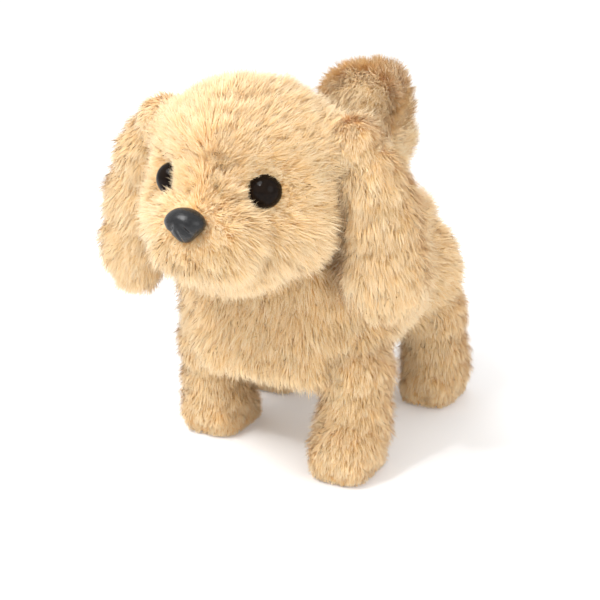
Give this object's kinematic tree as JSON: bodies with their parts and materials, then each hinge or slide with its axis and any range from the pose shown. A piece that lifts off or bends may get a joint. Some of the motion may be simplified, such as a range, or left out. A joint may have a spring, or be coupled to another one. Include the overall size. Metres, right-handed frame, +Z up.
{
  "type": "walking plush puppy",
  "caption": "Battery walking plush puppy with curly pile cover, floppy ears, swinging legs, nodding head and wagging tail",
  "frame": {"origin": "on the floor, under the middle of the overall box", "axes": "+Z up, the puppy looks along -Y, its left side is +X"},
  "size_m": [0.1624, 0.221, 0.183],
  "materials": {
    "plush": "pile",
    "eye": "gloss",
    "nose": "gloss",
    "casing": "matt",
    "frame": "matt",
    "gear": "satin",
    "steel": "satin",
    "motor": "satin",
    "brass": "satin",
    "contact": "gloss",
    "cell": "gloss",
    "board": "satin",
    "speaker": "satin",
    "cone": "matt",
    "wire": "satin",
    "sole": "matt",
    "knob": "satin"
  },
  "bodies": {
    "body": {"chassis_base": "casing", "chassis_cover": "casing", "chassis_screws": "steel", "battery_cells": "cell", "battery_contacts": "contact", "switch_body": "casing", "circuit_board": "board", "speaker_frame": "speaker", "speaker_cone": "cone", "motor_can": "motor", "gearbox_left_plate": "frame", "gearbox_right_plate": "frame", "gearbox_spacers": "steel", "gear_pins": "steel", "hip_axles": "steel", "hip_axle_clips": "steel", "neck_pin": "steel", "tail_bracket": "casing", "tail_pin": "steel", "internal_wires": "wire", "body_plush": "plush"},
    "crank": {"crank_gear": "gear", "crank_shaft": "steel", "crank_discs": "gear", "head_cam": "gear"},
    "second_gear": {"second_gear": "gear"},
    "first_gear": {"first_gear": "gear"},
    "motor_rotor": {"motor_shaft": "steel", "motor_pinion": "brass"},
    "left_link": {"left_link_rod": "frame"},
    "right_link": {"right_link_rod": "frame"},
    "head": {"neck_stem": "casing", "skull_front_shell": "casing", "skull_back_shell": "casing", "skull_screws": "steel", "left_eye": "eye", "right_eye": "eye", "face_washers": "casing", "nose": "nose", "head_plush": "plush"},
    "left_ear": {"left_ear": "plush"},
    "right_ear": {"right_ear": "plush"},
    "tail": {"tail_lever": "casing", "tail_plush": "plush"},
    "tail_push_rod": {"tail_push_rod": "frame"},
    "switch_knob": {"switch_knob": "knob"},
    "battery_door": {"battery_door": "casing", "battery_door_screw": "steel"},
    "left_front_leg": {"left_front_leg_frame": "frame", "left_front_leg_plush": "plush", "left_front_sole": "sole"},
    "right_front_leg": {"right_front_leg_frame": "frame", "right_front_leg_plush": "plush", "right_front_sole": "sole"},
    "left_rear_leg": {"left_rear_leg_frame": "frame", "left_rear_leg_plush": "plush", "left_rear_sole": "sole"},
    "right_rear_leg": {"right_rear_leg_frame": "frame", "right_rear_leg_plush": "plush", "right_rear_sole": "sole"}
  },
  "joints": [
    {"name": "crank_spin", "type": "hinge", "parent": "body", "child": "crank", "pos_m": [0, -0.021, 0.09], "axis": [1, 0, 0], "continuous": true},
    {"name": "second_gear_spin", "type": "hinge", "parent": "body", "child": "second_gear", "pos_m": [0, -0.0018, 0.09], "axis": [1, 0, 0], "continuous": true},
    {"name": "first_gear_spin", "type": "hinge", "parent": "body", "child": "first_gear", "pos_m": [0, 0.0174, 0.09], "axis": [1, 0, 0], "continuous": true},
    {"name": "motor_spin", "type": "hinge", "parent": "body", "child": "motor_rotor", "pos_m": [0, 0.0366, 0.09], "axis": [1, 0, 0], "continuous": true},
    {"name": "left_front_leg_swing", "type": "hinge", "parent": "body", "child": "left_front_leg", "pos_m": [0.039, -0.021, 0.072], "axis": [1, 0, 0], "range_deg": [-3, 19]},
    {"name": "right_front_leg_swing", "type": "hinge", "parent": "body", "child": "right_front_leg", "pos_m": [-0.039, -0.021, 0.072], "axis": [1, 0, 0], "range_deg": [-19, 3]},
    {"name": "left_rear_leg_swing", "type": "hinge", "parent": "body", "child": "left_rear_leg", "pos_m": [0.039, 0.061, 0.072], "axis": [1, 0, 0], "range_deg": [-19, 3]},
    {"name": "right_rear_leg_swing", "type": "hinge", "parent": "body", "child": "right_rear_leg", "pos_m": [-0.039, 0.061, 0.072], "axis": [1, 0, 0], "range_deg": [-3, 19]},
    {"name": "left_link_pivot", "type": "hinge", "parent": "left_front_leg", "child": "left_link", "pos_m": [0.042, -0.01961, 0.0819], "axis": [1, 0, 0], "range_deg": [-19, 3]},
    {"name": "right_link_pivot", "type": "hinge", "parent": "right_front_leg", "child": "right_link", "pos_m": [-0.042, -0.02239, 0.0819], "axis": [1, 0, 0], "range_deg": [-3, 19]},
    {"name": "head_nod", "type": "hinge", "parent": "body", "child": "head", "pos_m": [0, -0.036, 0.112], "axis": [1, 0, 0], "range_deg": [-1, 6]},
    {"name": "left_ear_flap", "type": "hinge", "parent": "head", "child": "left_ear", "pos_m": [0.043, -0.044, 0.167], "axis": [0, -1, 0], "range_deg": [0, 40]},
    {"name": "right_ear_flap", "type": "hinge", "parent": "head", "child": "right_ear", "pos_m": [-0.043, -0.044, 0.167], "axis": [0, 1, 0], "range_deg": [0, 40]},
    {"name": "tail_push_slide", "type": "slide", "parent": "body", "child": "tail_push_rod", "axis": [0, 1, 0], "range_m": [-0.0008, 0.0047]},
    {"name": "tail_wag", "type": "hinge", "parent": "body", "child": "tail", "pos_m": [0, 0.084, 0.099], "axis": [0, 0, 1], "range_deg": [-4, 23]},
    {"name": "switch_slide", "type": "slide", "parent": "body", "child": "switch_knob", "axis": [1, 0, 0], "range_m": [0, 0.004]},
    {"name": "battery_door_lift", "type": "slide", "parent": "body", "child": "battery_door", "axis": [0, 0, -1], "range_m": [0, 0.03]}
  ],
  "couplings": [
    {"joint": "second_gear_spin", "follows": "crank_spin", "ratio": -3},
    {"joint": "first_gear_spin", "follows": "crank_spin", "ratio": 9},
    {"joint": "motor_spin", "follows": "crank_spin", "ratio": -27},
    {"joint": "right_front_leg_swing", "follows": "left_front_leg_swing", "ratio": -1},
    {"joint": "left_rear_leg_swing", "follows": "left_front_leg_swing", "ratio": -1},
    {"joint": "right_rear_leg_swing", "follows": "left_front_leg_swing", "ratio": 1},
    {"joint": "left_link_pivot", "follows": "left_front_leg_swing", "ratio": -1},
    {"joint": "right_link_pivot", "follows": "left_front_leg_swing", "ratio": 1},
    {"joint": "head_nod", "follows": "left_front_leg_swing", "ratio": 0.3},
    {"joint": "tail_push_slide", "follows": "left_front_leg_swing", "m_per_rad": 0.0139},
    {"joint": "tail_wag", "follows": "left_front_leg_swing", "ratio": 1.16}
  ]
}
